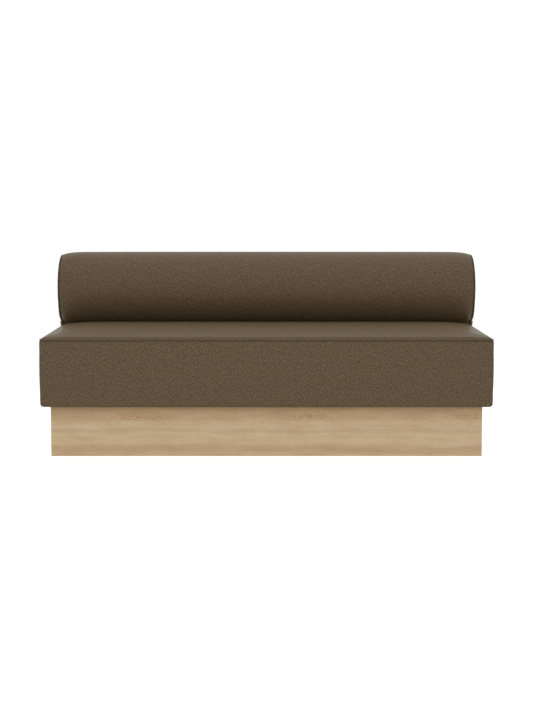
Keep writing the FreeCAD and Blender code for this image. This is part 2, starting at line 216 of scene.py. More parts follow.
def mirrored(left: np.ndarray, middle: np.ndarray) -> np.ndarray:
    """Joins the left half of a level, its middle and the left half's mirror image."""
    return np.concatenate([left, middle, left[::-1] * np.array([-1.0, 1.0])])


def net_faces(rows: int, columns: int, start: int = 0, closed: bool = False) -> List[Sequence[int]]:
    """The faces of a net whose points are counted row by row.

    Args:
        rows: its rows of points.
        columns: the points in a row.
        start: the number of its first point.
        closed: whether each row runs round to its start.

    Returns:
        One quad after another, row by row.
    """
    faces: List[Sequence[int]] = []
    for row in range(rows - 1):
        low, high = start + row * columns, start + (row + 1) * columns
        for column in range(columns if closed else columns - 1):
            after = (column + 1) % columns
            faces.append((low + column, low + after, high + after, high + column))
    return faces


@dataclass(frozen=True)
class BenchSizes:
    """The sizes that the CAD source gives the upholstery, in metres."""

    half_width: float = 0.900
    front: float = -0.350
    rear: float = 0.350
    plinth_top: float = 0.202
    deck: float = 0.3394
    seam_height: float = 0.466
    crown: float = 0.031
    crown_power: float = 2.3
    crown_reach: float = 0.230
    side_draw: float = 0.003
    corner_radius: float = 0.012
    corner_share: float = 0.15
    hem_radius: float = 0.012
    hem_width: float = 0.070
    roll_radius: float = 0.158
    roll_centre_y: float = 0.290
    roll_centre_z: float = 0.636
    roll_end_drop: float = 0.0122
    roll_end_reach: float = 0.075
    roll_end_power: float = 2.2
    roll_end: float = 0.896
    roll_half_length: float = 0.8847
    neck_front: float = 0.258
    end_thickness: float = 0.011
    end_round: float = 0.030
    layer_gap: float = 0.0003

    def roll_radius_at(self, x: np.ndarray) -> np.ndarray:
        """The roll's radius along the bench, with its shoulders and its end panels' round.

        Args:
            x: places along the bench.

        Returns:
            The radius at each place.
        """
        reach = np.abs(x)
        share = (reach - self.roll_half_length + self.roll_end_reach) / self.roll_end_reach
        drop = self.roll_end_drop * np.clip(share, 0, 1) ** self.roll_end_power
        past = np.clip((reach - self.roll_half_length) / self.end_thickness, 0, 0.999)
        return self.roll_radius - drop - self.end_round * (1 - np.sqrt(1 - past * past))


# Finishes


class Slot(Enum):
    """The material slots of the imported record."""

    OAK_VENEER = "oak_veneer"
    PLYWOOD = "plywood"
    TIMBER = "timber"
    ZINC_STEEL = "zinc_steel"
    NYLON = "nylon"
    ELASTIC_WEBBING = "elastic_webbing"
    FOAM = "foam"
    UPHOLSTERY_CLOTH = "upholstery_cloth"
    DUST_CLOTH = "dust_cloth"


class Grain(Enum):
    """Which way the grain of a wooden piece or the rib of a strap runs."""

    ALONG_BENCH = "along_bench"
    FRONT_TO_BACK = "front_to_back"
    UPRIGHT = "upright"


@dataclass
class Graph:
    """A node material round one principled shader, with the nodes that the finishes share."""

    name: str
    material: bpy.types.Material = field(init=False)
    tree: bpy.types.NodeTree = field(init=False)
    shader: bpy.types.Node = field(init=False)

    def __post_init__(self) -> None:
        """Makes the material with its shader."""
        self.material = bpy.data.materials.new(self.name)
        self.material.use_nodes = True
        self.tree = self.material.node_tree
        self.tree.nodes.clear()
        self.shader = add_node(self.tree, "BsdfPrincipled")
        add_node(self.tree, "OutputMaterial", {"Surface": self.shader.outputs[0]})

    def shade(self, values: Dict[str, Any]) -> None:
        """Sets or links inputs of the shader."""
        for key, value in values.items():
            feed(self.tree, self.shader.inputs[key], value)

    def output(self, kind: str, values: Optional[Dict[Any, Any]] = None, out: Any = 0) -> Socket:
        """Adds a node, and gives the output that is wanted by name or number."""
        return add_node(self.tree, kind, values).outputs[out]

    def objects(self) -> Socket:
        """The object's own coordinates."""
        return self.output("TexCoord", out="Object")

    def view(self, vector: Socket, scale: Place, turn: Place = (0.0, 0.0, 0.0)) -> Socket:
        """Coordinates stretched and turned."""
        return self.output("Mapping", {"Vector": vector, "Rotation": turn, "Scale": scale})

    def noise(self, vector: Socket, scale: float, detail: float, rough: float = 0.5) -> Socket:
        """A noise texture's value."""
        values = {"Vector": vector, "Scale": scale, "Detail": detail, "Roughness": rough}
        return self.output("TexNoise", values, "Fac")

    def math(self, operation: str, *values: Any, clamp: bool = False) -> Socket:
        """One sum of numbers and outputs."""
        settings = {"operation": operation, "use_clamp": clamp}
        return self.output("Math", {**settings, **dict(enumerate(values))})

    def span(self, value: Socket, **ends: float) -> Socket:
        """A value from one span taken to another, by default from and to 0 and 1."""
        named = {key.replace("_", " ").title(): end for key, end in ends.items()}
        return self.output("MapRange", {0: value, **named})

    def ramp(self, value: Socket, *stops: Stop) -> Socket:
        """The colour that a value has between stops, given as places with hex colours."""
        node = add_node(self.tree, "ValToRGB", {"Fac": value})
        elements = node.color_ramp.elements
        while len(elements) > 1:
            elements.remove(elements[-1])
        elements[0].position, elements[0].color = stops[0][0], linear(stops[0][1])
        for place, code in stops[1:]:
            elements.new(place).color = linear(code)
        return node.outputs[0]

    def multiply(self, under: Socket, over: Any, share: Any = 1.0) -> Socket:
        """A colour darkened by another, as far as the share says."""
        kind = {"data_type": "RGBA", "blend_type": "MULTIPLY"}
        return self.output("Mix", {**kind, 0: share, 6: under, 7: over}, 2)

    def blend(self, first: Socket, second: Socket, share: float) -> Socket:
        """Two values mixed by a share."""
        return self.output("Mix", {"data_type": "FLOAT", 0: share, 2: first, 3: second})

    def relief(self, height: Socket, strength: float, depth_mm: float) -> None:
        """Raises the shader's surface by a texture."""
        values = {"Strength": strength, "Distance": depth_mm * MM, "Height": height}
        self.shade({"Normal": self.output("Bump", values)})


@dataclass(frozen=True)
class Finish:
    """What every finish shares: the name of its material."""

    name: str

    def make(self) -> bpy.types.Material:
        """Builds the material."""
        raise NotImplementedError


@dataclass(frozen=True)
class MelangeWool(Finish):
    """Felted melange wool cloth: dyed and undyed fibres blended before spinning, then milled.

    The fibres of several browns show as soft flecks with a slight diagonal lean. The milled nap
    lies matt, with a pale bloom where it is seen along the surface.
    """

    name: str = "felted_melange_wool"
    deep: str = "30281a"
    body: str = "5c4e3a"
    pale: str = "826f54"
    fleck_mm: float = 4.2
    fleck_stretch: float = 0.55
    fibre_mm: float = 1.6
    fibre_share: float = 0.35
    dye_mm: float = 3.6
    warm: str = "ffe8c8"
    cool: str = "e6eefb"
    patch_mm: float = 26.0
    patch_low: str = "f1f0ef"
    # The colour that darkens the cloth as painted shade at its seams
    seam_shade_colour: str = "bfbfbf"
    thread_mm: float = 1.2
    lean: float = math.radians(52)
    nap_share: float = 0.75

    def make(self) -> bpy.types.Material:
        """Builds the cloth from flecks, fibres and the relief of its threads."""
        graph = Graph(self.name)
        run = graph.output("UVMap", {"uv_map": CLOTH_RUN})
        leant = graph.view(run, (1.0, self.fleck_stretch, 1.0), (0, 0, self.lean))
        flecks = graph.noise(leant, per_mm(self.fleck_mm), 3.0, 0.6)
        fibres = graph.noise(leant, per_mm(self.fibre_mm), 3.0, 0.7)
        blended = graph.blend(flecks, fibres, self.fibre_share)
        tone = graph.ramp(blended, (0.33, self.deep), (0.50, self.body), (0.67, self.pale))
        # Single fibres keep the warm or the grey of their own dye
        dyes = graph.noise(run, per_mm(self.dye_mm), 2.0, 0.6)
        dye_tone = graph.ramp(dyes, (0.36, self.cool), (0.5, WHITE), (0.64, self.warm))
        tone = graph.multiply(tone, dye_tone)
        # The nap lies unevenly after milling, in soft patches of a few centimetres
        clouds = graph.noise(run, per_mm(self.patch_mm), 2.0, 0.6)
        tone = graph.multiply(tone, graph.ramp(clouds, (0.34, self.patch_low), (0.66, WHITE)))
        # Painted shade: in and beside the seams the cloth is darkened, as the shade in the groove
        # would fall
        seam_shade = graph.output("Attribute", {"attribute_name": SEAM_SHADE}, "Fac")
        tone = graph.multiply(tone, linear(self.seam_shade_colour), seam_shade)
        threads = graph.output("TexWave", {
            "wave_type": "BANDS", "bands_direction": "DIAGONAL", "Vector": run, "Distortion": 3.0,
            "Scale": per_mm(self.thread_mm) / WAVE_BANDS, "Detail": 1.0, "Detail Scale": 2.0,
        }, "Fac")
        graph.relief(graph.blend(threads, blended, self.nap_share), 0.35, 0.6)
        graph.shade({
            "Base Color": tone, "Roughness": 0.46, "Specular IOR Level": 0.2,
            "Sheen Weight": 0.16, "Sheen Roughness": 0.28, "Sheen Tint": linear("c4b592"),
        })
        return graph.material


@dataclass(frozen=True)
class OakVeneer(Finish):
    """Crown-cut oak veneer under a matt lacquer: pale, with long streaks, pores and a few flecks.

    The lacquer leaves the open grain visible and gives a soft, low sheen.
    """

    name: str = "matt_lacquered_oak_veneer"
    grain: Grain = Grain.ALONG_BENCH
    height: float = 0.202
    # The stops from 0.74 up darken towards the top: painted shadow under the seat's overhang. The
    # stops below are the veneer's own bands.
    bands_and_overhang_shadow: Tuple[Stop, ...] = (
        (0.00, "cab08c"), (0.06, "c9af8d"), (0.10, "c2a683"), (0.20, "c2a786"),
        (0.24, "cab391"), (0.44, "cbb592"), (0.50, "c3a987"), (0.56, "cab492"),
        (0.67, "c8b190"), (0.74, "c1a783"), (0.88, "ba9e79"), (1.00, "b2966e"),
    )
    wander: float = 0.034
    streak_scale: Place = (4.0, 1.0, 190.0)
    patch_scale: Place = (6.0, 1.0, 34.0)
    pore_scale: Place = (28.0, 1.0, 900.0)
    stroke_scale: Place = (46.0, 1.0, 270.0)
    stroke_turn: float = math.radians(-28)
    leaf: float = 0.672
    fleck_x: float = 0.165
    fleck_z: float = 0.158
    fleck_half_length: float = 0.18
    fleck_half_height: float = 0.020
    roughness: float = 0.5

    def make(self) -> bpy.types.Material:
        """Builds the veneer from bands, streaks, pores and flecks along the grain."""
        graph = Graph(self.name)
        parts = add_node(graph.tree, "SeparateXYZ", {0: graph.objects()}).outputs
        along = parts[1] if self.grain is Grain.FRONT_TO_BACK else parts[0]
        across = parts[2]
        flat = graph.output("CombineXYZ", {0: along, 2: across})
        # The bands follow the height on the panel, and wander slowly along it; at the top they
        # darken as painted shadow under the seat
        drift = graph.noise(graph.view(flat, (2.4, 1.0, 7.0)), 1.0, 2.0)
        waved = graph.math("MULTIPLY_ADD", drift, self.wander, across)
        middle = -self.wander / 2 / self.height
        tone = graph.ramp(graph.math("MULTIPLY_ADD", waved, 1 / self.height, middle), *self.bands_and_overhang_shadow)
        bent = graph.output("CombineXYZ", {0: along, 2: waved})
        streaks = graph.noise(graph.view(bent, self.streak_scale), 1.0, 5.0, 0.6)
        streak_tone = graph.ramp(streaks, (0.25, "e5ded4"), (0.5, WHITE), (0.8, "fffaf0"))
        tone = graph.multiply(tone, streak_tone, 0.55)
        # The lacquer and the cut change the tone in broad soft patches
        patches = graph.noise(graph.view(bent, self.patch_scale), 1.0, 3.0, 0.65)
        tone = graph.multiply(tone, graph.ramp(patches, (0.32, "f0ebe6"), (0.62, WHITE)))
        # Pores are fine dark dashes, about 0.3 mm by 8 mm, drawn coarser so that they show
        pores = graph.noise(graph.view(bent, self.pore_scale), 1.0, 2.0)
        tone = graph.multiply(tone, graph.ramp(pores, (0.28, "b59a78"), (0.42, WHITE)), 0.55)
        # The top of each crown shows as a few short slanting strokes, once in every veneer leaf
        from_fleck = graph.math("SUBTRACT", along, self.fleck_x)
        wrapped = graph.math("WRAP", from_fleck, self.leaf / 2, -self.leaf / 2)
        spot = graph.output("CombineXYZ", {
            0: graph.math("MULTIPLY", wrapped, 1 / self.fleck_half_length),
            2: graph.math("MULTIPLY_ADD", across, 1 / self.fleck_half_height,
                          -self.fleck_z / self.fleck_half_height),
        })
        glow = graph.output("TexGradient", {"gradient_type": "SPHERICAL", 0: spot}, "Fac")
        slanted = graph.view(flat, self.stroke_scale, (0, self.stroke_turn, 0))
        strokes = graph.span(graph.noise(slanted, 1.0, 2.0), from_min=0.49, from_max=0.60)
        fleck = graph.math("MULTIPLY", glow, strokes, clamp=True)
        tone = graph.multiply(tone, linear("dcbc9f"), fleck)
        low, high = self.roughness - 0.05, self.roughness + 0.09
        graph.relief(pores, 0.25, 0.15)
        graph.shade({
            "Base Color": tone, "Specular IOR Level": 0.35,
            "Roughness": graph.span(streaks, to_min=low, to_max=high),
        })
        return graph.material


@dataclass(frozen=True)
class Speckled(Finish):
    """What the plain finishes share: one texture that colours and raises the surface.

    The relief is the bump's strength and its depth in millimetres.
    """

    tones: Tuple[Stop, Stop]
    relief: Tuple[float, float]
    roughness: float

    def texture(self, graph: Graph) -> Socket:
        """Adds the texture."""
        raise NotImplementedError

    def make(self) -> bpy.types.Material:
        """Builds the surface from its texture."""
        graph = Graph(self.name)
        value = self.texture(graph)
        graph.relief(value, *self.relief)
        tone = graph.ramp(value, *self.tones)
        graph.shade({"Base Color": tone, "Roughness": self.roughness})
        return graph.material


@dataclass(frozen=True)
class PlainWood(Speckled):
    """Planed softwood or sanded plywood, seen only with the upholstery off.

    Growth rings show as soft lines along the grain, with a dry, matt surface.
    """

    relief: Tuple[float, float] = (0.3, 0.2)
    roughness: float = 0.7
    grain: Grain = Grain.ALONG_BENCH
    ring_mm: float = 4.0
    fibre_scale: float = 6.0

    def texture(self, graph: Graph) -> Socket:
        """Rings and fibres, stretched along the grain."""
        stretch = [per_mm(self.ring_mm)] * 3
        stretch[list(Grain).index(self.grain)] = self.fibre_scale
        return graph.noise(graph.view(graph.objects(), tuple(stretch)), 0.5, 4.0, 0.6)


@dataclass(frozen=True)
class CutFoam(Speckled):
    """Polyurethane foam cut from a block: pale yellow, with open cells of over a millimetre."""

    name: str = "cut_polyurethane_foam"
    tones: Tuple[Stop, Stop] = ((0.1, "bfb07f"), (0.6, "ded3ab"))
    relief: Tuple[float, float] = (0.5, 0.5)
    roughness: float = 0.95
    cell_mm: float = 1.5

    def texture(self, graph: Graph) -> Socket:
        """The open cells."""
        cells = {"Scale": per_mm(self.cell_mm), "Vector": graph.objects()}
        return graph.output("TexVoronoi", cells, "Distance")


@dataclass(frozen=True)
class MouldedNylon(Speckled):
    """Black glass-filled nylon: satin, with the fine grain of a spark-eroded mould."""

    name: str = "moulded_black_nylon"
    tones: Tuple[Stop, Stop] = ((0.3, "1c1c1d"), (0.7, "29292a"))
    relief: Tuple[float, float] = (0.2, 0.1)
    roughness: float = 0.5

    def texture(self, graph: Graph) -> Socket:
        """The mould's grain, about half a millimetre wide."""
        return graph.noise(graph.objects(), 1800.0, 2.0)


@dataclass(frozen=True)
class WovenStrap(Speckled):
    """Elastic upholstery webbing: a flat weave of rubber-cored yarns, ribbed along the strap."""

    name: str = "woven_elastic_webbing"
    tones: Tuple[Stop, Stop] = ((0.2, "1b1a18"), (0.8, "3a3732"))
    relief: Tuple[float, float] = (0.5, 0.4)
    roughness: float = 0.85
    along_x: bool = True
    rib_mm: float = 2.0

    def texture(self, graph: Graph) -> Socket:
        """The ribs and the darker lines between them."""
        ribs = {
            "wave_type": "BANDS", "bands_direction": "Y" if self.along_x else "X",
            "Scale": per_mm(self.rib_mm) / WAVE_BANDS, "Distortion": 0.4, "Vector": graph.objects(),
        }
        return graph.output("TexWave", ribs, "Fac")


@dataclass(frozen=True)
class SpunCloth(Speckled):
    """Black spun-bonded dust cloth: matt, with a grid of small welded dots."""

    name: str = "spunbond_dust_cloth"
    tones: Tuple[Stop, Stop] = ((0.15, "141414"), (0.35, "262626"))
    relief: Tuple[float, float] = (0.4, 0.2)
    roughness: float = 0.9
    dot_mm: float = 1.8

    def texture(self, graph: Graph) -> Socket:
        """The bonded dots."""
        dots = {"Scale": per_mm(self.dot_mm), "Randomness": 0.1, "Vector": graph.objects()}
        return graph.output("TexVoronoi", dots, "Distance")


@dataclass(frozen=True)
class ZincSteel(Finish):
    """Bright zinc plating on steel bolts: a bluish grey metal with faint mottled spangle."""

    name: str = "zinc_plated_steel"

    def make(self) -> bpy.types.Material:
        """Builds the plating with its slight change of gloss."""
        graph = Graph(self.name)
        mottle = graph.noise(graph.objects(), 900.0, 3.0)
        graph.shade({
            "Base Color": graph.ramp(mottle, (0.3, "a9adb2"), (0.7, "c9ccd0")), "Metallic": 1.0,
            "Roughness": graph.span(mottle, to_min=0.25, to_max=0.45),
        })
        return graph.material


# Padded forms


def turn_outwards(mesh: bpy.types.Mesh, close: bool = False) -> None:
    """Turns every face of a mesh to the outside.

    Args:
        mesh: the mesh, changed in place.
        close: whether each open rim first gets one flat face. That comes after refining,
            which needs small faces.
    """
    net = bmesh.new()
    net.from_mesh(mesh)
    rims = [edge for edge in net.edges if edge.is_boundary] if close else []
    if rims:
        bmesh.ops.holes_fill(net, edges=rims, sides=0)
    if rims or not close:
        bmesh.ops.recalc_face_normals(net, faces=net.faces)
    net.to_mesh(mesh)
    net.free()


def read_vectors(points: Any, name: str) -> np.ndarray:
    """Reads one vector, such as co or normal, of each vertex of a mesh."""
    flat = np.zeros(len(points) * 3)
    points.foreach_get(name, flat)
    return flat.reshape(-1, 3)


# How stiff the cloth is, and how hard the padding presses
CLOTH_SETTINGS = {
    "quality": 4, "mass": 0.3, "tension_stiffness": 12, "compression_stiffness": 12,
    "shear_stiffness": 4, "bending_stiffness": 0.5, "use_pressure": True,
    "uniform_pressure_force": 4.0, "vertex_group_mass": "held",
}


@dataclass
class PaddedPiece:
    """A stuffed form: its net of points becomes a mesh, is swollen by its filling and finished."""

    name: str
    vertices: np.ndarray
    faces: List[Sequence[int]]
    run: np.ndarray
    seam_shade: np.ndarray
    swell: np.ndarray
    fill: float
    frames: int = 20
    held_below: float = 0.3 * MM
    give: float = 4.0

    def build(self) -> bpy.types.Object:
        """Makes the mesh with its cloth run and the painted shade of its seams.

        Returns:
            The new object, at the origin.
        """
        mesh = bpy.data.meshes.new(self.name)
        faces = [[int(i) for i in face] for face in self.faces]
        mesh.from_pydata(self.vertices.tolist(), [], faces)
        turn_outwards(mesh)
        layer = mesh.uv_layers.new(name=CLOTH_RUN)
        corner_points = np.zeros(len(mesh.loops), np.int32)
        mesh.loops.foreach_get("vertex_index", corner_points)
        layer.data.foreach_set("uv", self.run[corner_points].astype(np.float32).ravel())
        # The painted shade of the seams goes to the material as a point attribute
        depth = mesh.attributes.new(SEAM_SHADE, "FLOAT", "POINT")
        depth.data.foreach_set("value", self.seam_shade.astype(np.float32))
        mesh.update()
        made = bpy.data.objects.new(self.name, mesh)
        bpy.context.scene.collection.objects.link(made)
        mesh.shade_smooth()
        return made

    def inflate(self, made: bpy.types.Object) -> None:
        """Lets the filling push the cloth out, as far as each point may go.

        The cloth starts slack, each point lower by what it may rise. A cloth simulation with
        inner pressure lifts it, and no point passes its own limit.

        Args:
            made: the object that build returned.
        """
        if self.swell.max() <= 0:
            return
        vertices = made.data.vertices
        normals = read_vectors(vertices, "normal")
        slack = read_vectors(vertices, "co") - normals * self.swell[:, None]
        vertices.foreach_set("co", slack.ravel())
        held = made.vertex_groups.new(name="held")
        for index in np.nonzero(self.swell < self.held_below)[0]:
            held.add([int(index)], 1.0, "REPLACE")
        cloth = made.modifiers.new("filling", "CLOTH")
        for key, value in CLOTH_SETTINGS.items():
            setattr(cloth.settings, key, value)
        cloth.settings.effector_weights.gravity = 0.0
        cloth.collision_settings.use_collision = False
        cloth.collision_settings.use_self_collision = False
        cloth.point_cache.frame_start, cloth.point_cache.frame_end = 1, self.frames
        scene = bpy.context.scene
        for number in range(1, self.frames + 1):
            scene.frame_set(number)
        view = bpy.context.evaluated_depsgraph_get()
        step = read_vectors(made.evaluated_get(view).data.vertices, "co") - slack
        made.modifiers.remove(cloth)
        made.vertex_groups.remove(held)
        scene.frame_set(1)
        rise = np.clip((step * normals).sum(1), 0, None)
        LOG.info("%s rose by up to %.1f mm before its limit", self.name, rise.max() / MM)
        share = self.give * rise / np.maximum(self.swell, 1e-6)
        lifted = self.swell * np.tanh(share)
        vertices.foreach_set("co", (slack + normals * lifted[:, None]).ravel())
        made.data.update()

    def finish(
        self, made: bpy.types.Object, material: bpy.types.Material, nodes: Sequence[str]
    ) -> None:
        """Refines the form, dresses it and puts it in its nodes' place.

        Args:
            made: the swollen object.
            material: its finish.
            nodes: the CAD nodes that it stands for.
        """
        refine = made.modifiers.new("round", "SUBSURF")
        refine.levels = refine.render_levels = 1
        bpy.ops.object.select_all(action="DESELECT")
        made.select_set(True)
        bpy.context.view_layer.objects.active = made
        bpy.ops.object.modifier_apply(modifier=refine.name)
        turn_outwards(made.data, close=True)
        made.data.shade_smooth()
        made.data.materials.append(material)
        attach(made, "root")
        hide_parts(*nodes)
        LOG.info("%s has %d faces", made.name, len(made.data.polygons))


@dataclass
class ClothGrid:
    """A cloth as a net of points, with its run in metres, its painted seam shade and its swell."""

    points: np.ndarray
    run: np.ndarray
    seam_shade: np.ndarray
    swell: np.ndarray

    def padded(
        self, name: str, inner: np.ndarray, fill: float, flip: bool = False
    ) -> PaddedPiece:
        """Joins the cloth and the inner face of its padding into one closed form.

        Args:
            name: the piece's name.
            inner: points of the same net on the inner face.
            fill: how tight the padding is.
            flip: whether the net's faces point inwards as they are ordered.

        Returns:
            The padded piece.
        """
        rows, columns = self.points.shape[:2]
        count = rows * columns
        faces = net_faces(rows, columns)
        faces += [tuple(reversed(face)) for face in net_faces(rows, columns, count)]
        for row in range(rows - 1):
            first, above = row * columns, (row + 1) * columns
            faces.append((first, above, above + count, first + count))
            last, last_above = first + columns - 1, above + columns - 1
            faces.append((last_above, last, last + count, last_above + count))
        for column in range(columns - 1):
            faces.append((column + 1, column, column + count, column + 1 + count))
            top = (rows - 1) * columns + column
            faces.append((top, top + 1, top + 1 + count, top + count))
        if flip:
            faces = [tuple(reversed(face)) for face in faces]
        vertices = np.concatenate([self.points.reshape(-1, 3), inner.reshape(-1, 3)])
        run = np.concatenate([self.run.reshape(-1, 2)] * 2)
        seam_shade = np.concatenate([self.seam_shade.ravel(), np.zeros(count)])
        swell = np.concatenate([self.swell.ravel(), np.zeros(count)])
        return PaddedPiece(name, vertices, faces, run, seam_shade, swell, fill)


@dataclass
class SeatCushion:
    """The thick box seat: a crowned top cloth, and a border cloth round its sides and hem.

    A row of border_seam says how far the cloth is below the seam and how far in from its face,
    both in millimetres, and how dark the painted shade of the seam makes it. A row of top_seam
    says how far it is in from the seam in metres, how high above it in millimetres, and how dark
    its painted shade is.
    """

    sizes: BenchSizes = field(default_factory=BenchSizes)
    pitch: float = 0.010
    corner_steps: int = 8
    rise: float = 0.0022
    cloth: float = 0.0016
    rear_tuck: float = 0.0002
    return_gap: float = 0.0004
    hem_rows: int = 7
    hem_start: float = 0.022
    hem_free: float = 0.039
    hem_sag: float = 0.0007
    side_rows: int = 28
    border_seam: Rows = (
        (3.0, 0.05, 0.0), (1.8, 0.35, 0.6), (0.8, 1.0, 1.0), (0.35, 2.0, 1.0), (0.15, 3.5, 1.0),
    )
    top_seam: Rows = (
        (0.0035, 0.15, 1.0), (0.0020, 0.3, 0.6), (0.0010, 0.7, 0.2), (0.0002, 1.3, 0.1),
        (-0.0004, 2.4, 0.2), (-0.0003, 3.6, 0.3), (0.0002, 5.0, 0.3),
    )
    top_insets: Tuple[float, ...] = (0.0032, 0.0055, 0.0085, 0.0125, 0.0175, 0.024, 0.032, 0.041)
    # Painted shade on the crown's first rings above the seam, darkest nearest the seam
    crown_edge_shade: Tuple[float, ...] = (0.3, 0.28, 0.22, 0.15, 0.08, 0.03)
    top_pitch: float = 0.0105
    front_fullness: float = 0.0034
    bed_press: float = 0.0006
    bed_blend: float = 0.003
    mitre_blend: float = 0.004
    bearing: float = 0.078

    def counts(self, ends: float) -> Tuple[int, int]:
        """How many runs a level's side, which ends at the rear, and its front have."""
        s = self.sizes
        return round((ends - s.front) / self.pitch), round(2 * s.half_width / self.pitch)

    def border_path(self, draw: float, rear: float) -> np.ndarray:
        """One level of the border in plan, from one rear return round the front to the other.

        Args:
            draw: how far the level is drawn in from the overall size.
            rear: where the rear lies at this level.

        Returns:
            The points of the level.
        """
        s = self.sizes
        half, front, radius = s.half_width - draw, s.front + draw, s.corner_radius
        back = min(s.roll_half_length + s.layer_gap, half - radius - self.return_gap)
        sides, fronts = self.counts(s.rear)
        left, near = -half + radius, front + radius
        one_side = np.concatenate([
            line_across(-back, left, rear, 3),
            arc((left, rear - radius), radius, QUARTER, 2 * QUARTER, self.corner_steps),
            line_up(-half, rear - radius, near, sides)[1:],
            arc((left, near), radius, 2 * QUARTER, 3 * QUARTER, self.corner_steps),
        ])
        return mirrored(one_side, line_across(left, half - radius, front, fronts)[1:-1])

    def border_profile(self) -> np.ndarray:
        """The border's section up to the seam: rows of draw, height, painted seam shade and swell.
        """
        s = self.sizes
        rest = s.plinth_top + s.layer_gap
        low = rest - self.hem_sag
        rows = []
        for draw in np.linspace(s.hem_width, self.hem_start, self.hem_rows):
            free = ease_one((self.hem_free - draw) / 0.017)
            rows.append((draw, rest - self.hem_sag * free, 0.0, 0.0))
        for step in range(self.corner_steps + 1):
            angle = QUARTER * step / self.corner_steps
            draw = s.side_draw + s.hem_radius * (1 - math.sin(angle))
            rows.append((draw, low + s.hem_radius * (1 - math.cos(angle)), 0.0, 0.0))
        start, end = low + s.hem_radius, s.seam_height
        for z in np.linspace(start, end - 0.0045, self.side_rows)[1:]:
            share = (z - start) / (end - start)
            lift = ease_one(min(share, 1 - share) / 0.18)
            rows.append((s.side_draw * (2 * share - 1) ** 2, z, 0.0, self.rise * lift))
        # The seam's rows carry its painted shade
        for below, inward, depth in self.border_seam:
            rows.append((s.side_draw + inward * MM, end - below * MM, depth, 0.0))
        return np.array(rows)

    def border(self) -> PaddedPiece:
        """Makes the border cloth, which folds under at the hem and into the seam at the top."""
        profile = self.border_profile()
        rear = self.sizes.rear - self.rear_tuck
        outer, inner = [], []
        for draw, z in profile[:, :2]:
            level = self.border_path(draw, rear)
            inside = self.border_path(draw + self.cloth, rear - self.cloth)
            outer.append(np.column_stack([level, np.full(len(level), z)]))
            inner.append(np.column_stack([inside, np.full(len(inside), z)]))
        points, inner_points = np.stack(outer), np.stack(inner)
        inner_points[:self.hem_rows + 1, :, 2] += self.cloth
        along = lengths_along(points[len(profile) // 2, :, :2])
        run = np.stack(np.meshgrid(along - along[-1] / 2, lengths_along(profile[:, :2])), -1)
        seam_shade = np.repeat(profile[:, 2][:, None], len(along), 1)
        from_ends = ease(np.minimum(along, along[-1] - along) / 0.06)
        swell = profile[:, 3][:, None] * from_ends[None, :]
        cloth = ClothGrid(points, run, seam_shade, swell)
        return cloth.padded("seat_border_cloth", inner_points, 0.95)

    def crown_height(self, inset: np.ndarray) -> np.ndarray:
        """The crown's height above the seam at a distance in from the edge."""
        s = self.sizes
        share = np.clip(inset / s.crown_reach, 0, 1)
        return s.crown * np.clip(1 - (1 - share) ** s.crown_power, 0, 1) ** (1 / s.crown_power)

    def top_height(self, x: np.ndarray, y: np.ndarray, inset: np.ndarray) -> np.ndarray:
        """The seat's surface: its crown, its fall to the rear, and the bed that the roll presses.

        Args:
            x: places along the bench.
            y: places from front to back.
            inset: distances in from the seam.

        Returns:
            The heights.
        """
        s = self.sizes
        edge = self.crown_height(inset)
        rear = self.crown_height(s.rear - y)
        height = s.seam_height + np.minimum(edge, smooth_min(edge, rear, self.mitre_blend))
        radius = s.roll_radius_at(x)
        away = np.clip(np.abs(y - s.roll_centre_y), 0, radius * 0.999)
        bed = s.roll_centre_z - np.sqrt(radius ** 2 - away ** 2) - self.bed_press
        near = smooth_min(height, bed, self.bed_blend)
        return np.where(inset > 0.004, near, np.minimum(height, near))

    def front_lift(self, x: np.ndarray, y: np.ndarray, inset: float) -> np.ndarray:
        """How much fuller the crown stands along its front edge than at its sides."""
        s = self.sizes
        band = ease_one(inset / 0.010) * (1 - ease_one((inset - 0.014) / 0.060))
        along_front = ease((s.front + s.side_draw + inset + 0.004 - y) / 0.004)
        from_corner = ease((s.half_width - np.abs(x) - inset - 0.015) / 0.080)
        return self.front_fullness * band * along_front * from_corner

    def free_rise(self, x: np.ndarray, y: np.ndarray, inset: float) -> np.ndarray:
        """How far the top may swell: not at the seam, and not where the roll bears on it."""
        from_seam = ease(np.array(inset / 0.05))
        from_roll = ease((self.sizes.roll_centre_y - self.bearing - y) / 0.07)
        return self.rise * from_seam * from_roll * np.ones(len(x))

    def ring(self, inset: float, ends: float) -> np.ndarray:
        """One level of the top cloth in plan: down one side, along the front and up the other.

        Args:
            inset: how far it lies in from the seam.
            ends: where it ends at the rear.

        Returns:
            The points.
        """
        s = self.sizes
        half = s.half_width - s.side_draw - inset
        front = s.front + s.side_draw + inset
        radius = s.corner_radius + max(inset, 0) * s.corner_share
        sides, fronts = self.counts(ends)
        left, near = -half + radius, front + radius
        one_side = np.concatenate([
            line_up(-half, ends, near, sides + 1),
            arc((left, near), radius, 2 * QUARTER, 3 * QUARTER, self.corner_steps),
        ])
        return mirrored(one_side, line_across(left, half - radius, front, fronts + 1)[1:-1])

    def rings(self, ends: float) -> Tuple[np.ndarray, List[np.ndarray], List[np.ndarray]]:
        """The top cloth's rings from the seam inwards, with painted seam shade and limits of swell.
        """
        s = self.sizes
        points, seam_shade_rows, rises = [], [], []
        for inset, height, depth in self.top_seam:
            plan = self.ring(inset, ends)
            z = np.full(len(plan), s.seam_height + height * MM)
            points.append(np.column_stack([plan, z]))
            seam_shade_rows.append(np.full(len(plan), depth))
            rises.append(np.zeros(len(plan)))
        further = np.arange(0.051, s.crown_reach, self.top_pitch)
        insets = [*self.top_insets, *further, s.crown_reach]
